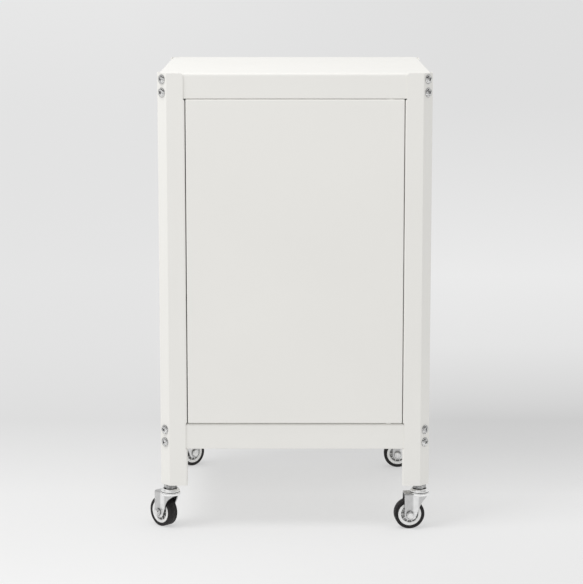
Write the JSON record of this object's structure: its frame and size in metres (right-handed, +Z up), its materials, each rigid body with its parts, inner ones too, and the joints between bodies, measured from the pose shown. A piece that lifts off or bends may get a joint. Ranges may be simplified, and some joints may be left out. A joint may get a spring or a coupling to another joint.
{
  "type": "rolling locker cabinet",
  "caption": "Small square steel locker cabinet with an inset hinged front door, a shelf inside, bevelled corner posts as legs, and swivel casters.",
  "frame": {"origin": "on the floor, under the middle of the cabinet's square plan", "axes": "+Z up; +Y from the door towards the rear panel; +X to the right, seen from the front"},
  "size_m": [0.4193, 0.4218, 0.68],
  "materials": {
    "painted_sheet": "warm white powder coat, satin, with a faint fine texture",
    "plated_screws": "bright nickel plate",
    "zinc_plate": "zinc plate, satin, slightly cloudy",
    "caster_head": "bright zinc plate",
    "tyre_rubber": "black rubber tread, matt, faint moulding lines",
    "wheel_plastic": "pale grey moulded nylon, satin",
    "spring_steel": "polished hardened steel",
    "nylon": "natural nylon",
    "latch_plastic": "light grey moulded plastic",
    "magnet_steel": "nickel-plated magnet",
    "bumper_rubber": "soft grey rubber"
  },
  "bodies": {
    "cabinet": {"post_front_left": "painted_sheet", "post_front_right": "painted_sheet", "post_rear_right": "painted_sheet", "post_rear_left": "painted_sheet", "top_tray": "painted_sheet", "bottom_tray": "painted_sheet", "left_panel": "painted_sheet", "right_panel": "painted_sheet", "rear_panel": "painted_sheet", "panel_rivets": "zinc_plate", "corner_screws": "plated_screws", "corner_nuts": "zinc_plate", "foot_plate_front_left": "painted_sheet", "foot_plate_front_right": "painted_sheet", "foot_plate_rear_right": "painted_sheet", "foot_plate_rear_left": "painted_sheet", "weld_nuts": "zinc_plate", "upper_hinge_bush": "nylon", "lower_hinge_bush": "nylon", "latch_body": "latch_plastic", "latch_screws": "plated_screws", "latch_pin": "zinc_plate", "latch_spring": "spring_steel", "door_stop": "zinc_plate", "stop_bumper": "bumper_rubber", "shelf": "painted_sheet", "shelf_clips": "zinc_plate", "caster_stem_front_left": "caster_head", "caster_stem_front_right": "caster_head", "caster_stem_rear_right": "caster_head", "caster_stem_rear_left": "caster_head", "stem_nuts": "caster_head", "swivel_balls": "spring_steel"},
    "door": {"door_shell": "painted_sheet", "door_stiffener": "painted_sheet", "upper_hinge_pin": "plated_screws", "lower_hinge_pin": "plated_screws", "strike_plate": "zinc_plate"},
    "plunger": {"latch_plunger": "latch_plastic", "latch_magnet": "magnet_steel"},
    "swivel_front_left": {"caster_fork_front_left": "zinc_plate", "axle_bolt_front_left": "plated_screws", "axle_nut_front_left": "plated_screws"},
    "wheel_front_left": {"tyre_front_left": "tyre_rubber", "wheel_core_front_left": "wheel_plastic"},
    "swivel_front_right": {"caster_fork_front_right": "zinc_plate", "axle_bolt_front_right": "plated_screws", "axle_nut_front_right": "plated_screws"},
    "wheel_front_right": {"tyre_front_right": "tyre_rubber", "wheel_core_front_right": "wheel_plastic"},
    "swivel_rear_right": {"caster_fork_rear_right": "zinc_plate", "axle_bolt_rear_right": "plated_screws", "axle_nut_rear_right": "plated_screws"},
    "wheel_rear_right": {"tyre_rear_right": "tyre_rubber", "wheel_core_rear_right": "wheel_plastic"},
    "swivel_rear_left": {"caster_fork_rear_left": "zinc_plate", "axle_bolt_rear_left": "plated_screws", "axle_nut_rear_left": "plated_screws"},
    "wheel_rear_left": {"tyre_rear_left": "tyre_rubber", "wheel_core_rear_left": "wheel_plastic"}
  },
  "joints": [
    {"name": "door_hinge", "type": "hinge", "parent": "cabinet", "child": "door", "pos_m": [0.139, -0.193, 0.4], "axis": [0, 0, 1], "range_deg": [0, 110]},
    {"name": "latch_press", "type": "slide", "parent": "cabinet", "child": "plunger", "axis": [0, 1, 0], "range_m": [0, 0.0025], "stiffness_N_per_m": 400, "springref_m": -0.005, "deforming": ["latch_spring"]},
    {"name": "swivel_turn_front_left", "type": "hinge", "parent": "cabinet", "child": "swivel_front_left", "pos_m": [-0.1863, -0.1863, 0.054], "axis": [0, 0, 1], "continuous": true},
    {"name": "wheel_spin_front_left", "type": "hinge", "parent": "swivel_front_left", "child": "wheel_front_left", "pos_m": [-0.19719, -0.17541, 0.0225], "axis": [-0.7071, -0.7071, 0], "continuous": true},
    {"name": "swivel_turn_front_right", "type": "hinge", "parent": "cabinet", "child": "swivel_front_right", "pos_m": [0.1863, -0.1863, 0.054], "axis": [0, 0, 1], "continuous": true},
    {"name": "wheel_spin_front_right", "type": "hinge", "parent": "swivel_front_right", "child": "wheel_front_right", "pos_m": [0.17098, -0.18791, 0.0225], "axis": [0.1045, -0.9945, 0], "continuous": true},
    {"name": "swivel_turn_rear_right", "type": "hinge", "parent": "cabinet", "child": "swivel_rear_right", "pos_m": [0.1863, 0.1863, 0.054], "axis": [0, 0, 1], "continuous": true},
    {"name": "wheel_spin_rear_right", "type": "hinge", "parent": "swivel_rear_right", "child": "wheel_rear_right", "pos_m": [0.1709, 0.1863, 0.0225], "axis": [0, -1, 0], "continuous": true},
    {"name": "swivel_turn_rear_left", "type": "hinge", "parent": "cabinet", "child": "swivel_rear_left", "pos_m": [-0.1863, 0.1863, 0.054], "axis": [0, 0, 1], "continuous": true},
    {"name": "wheel_spin_rear_left", "type": "hinge", "parent": "swivel_rear_left", "child": "wheel_rear_left", "pos_m": [-0.17416, 0.19578, 0.0225], "axis": [-0.6157, 0.788, 0], "continuous": true}
  ]
}
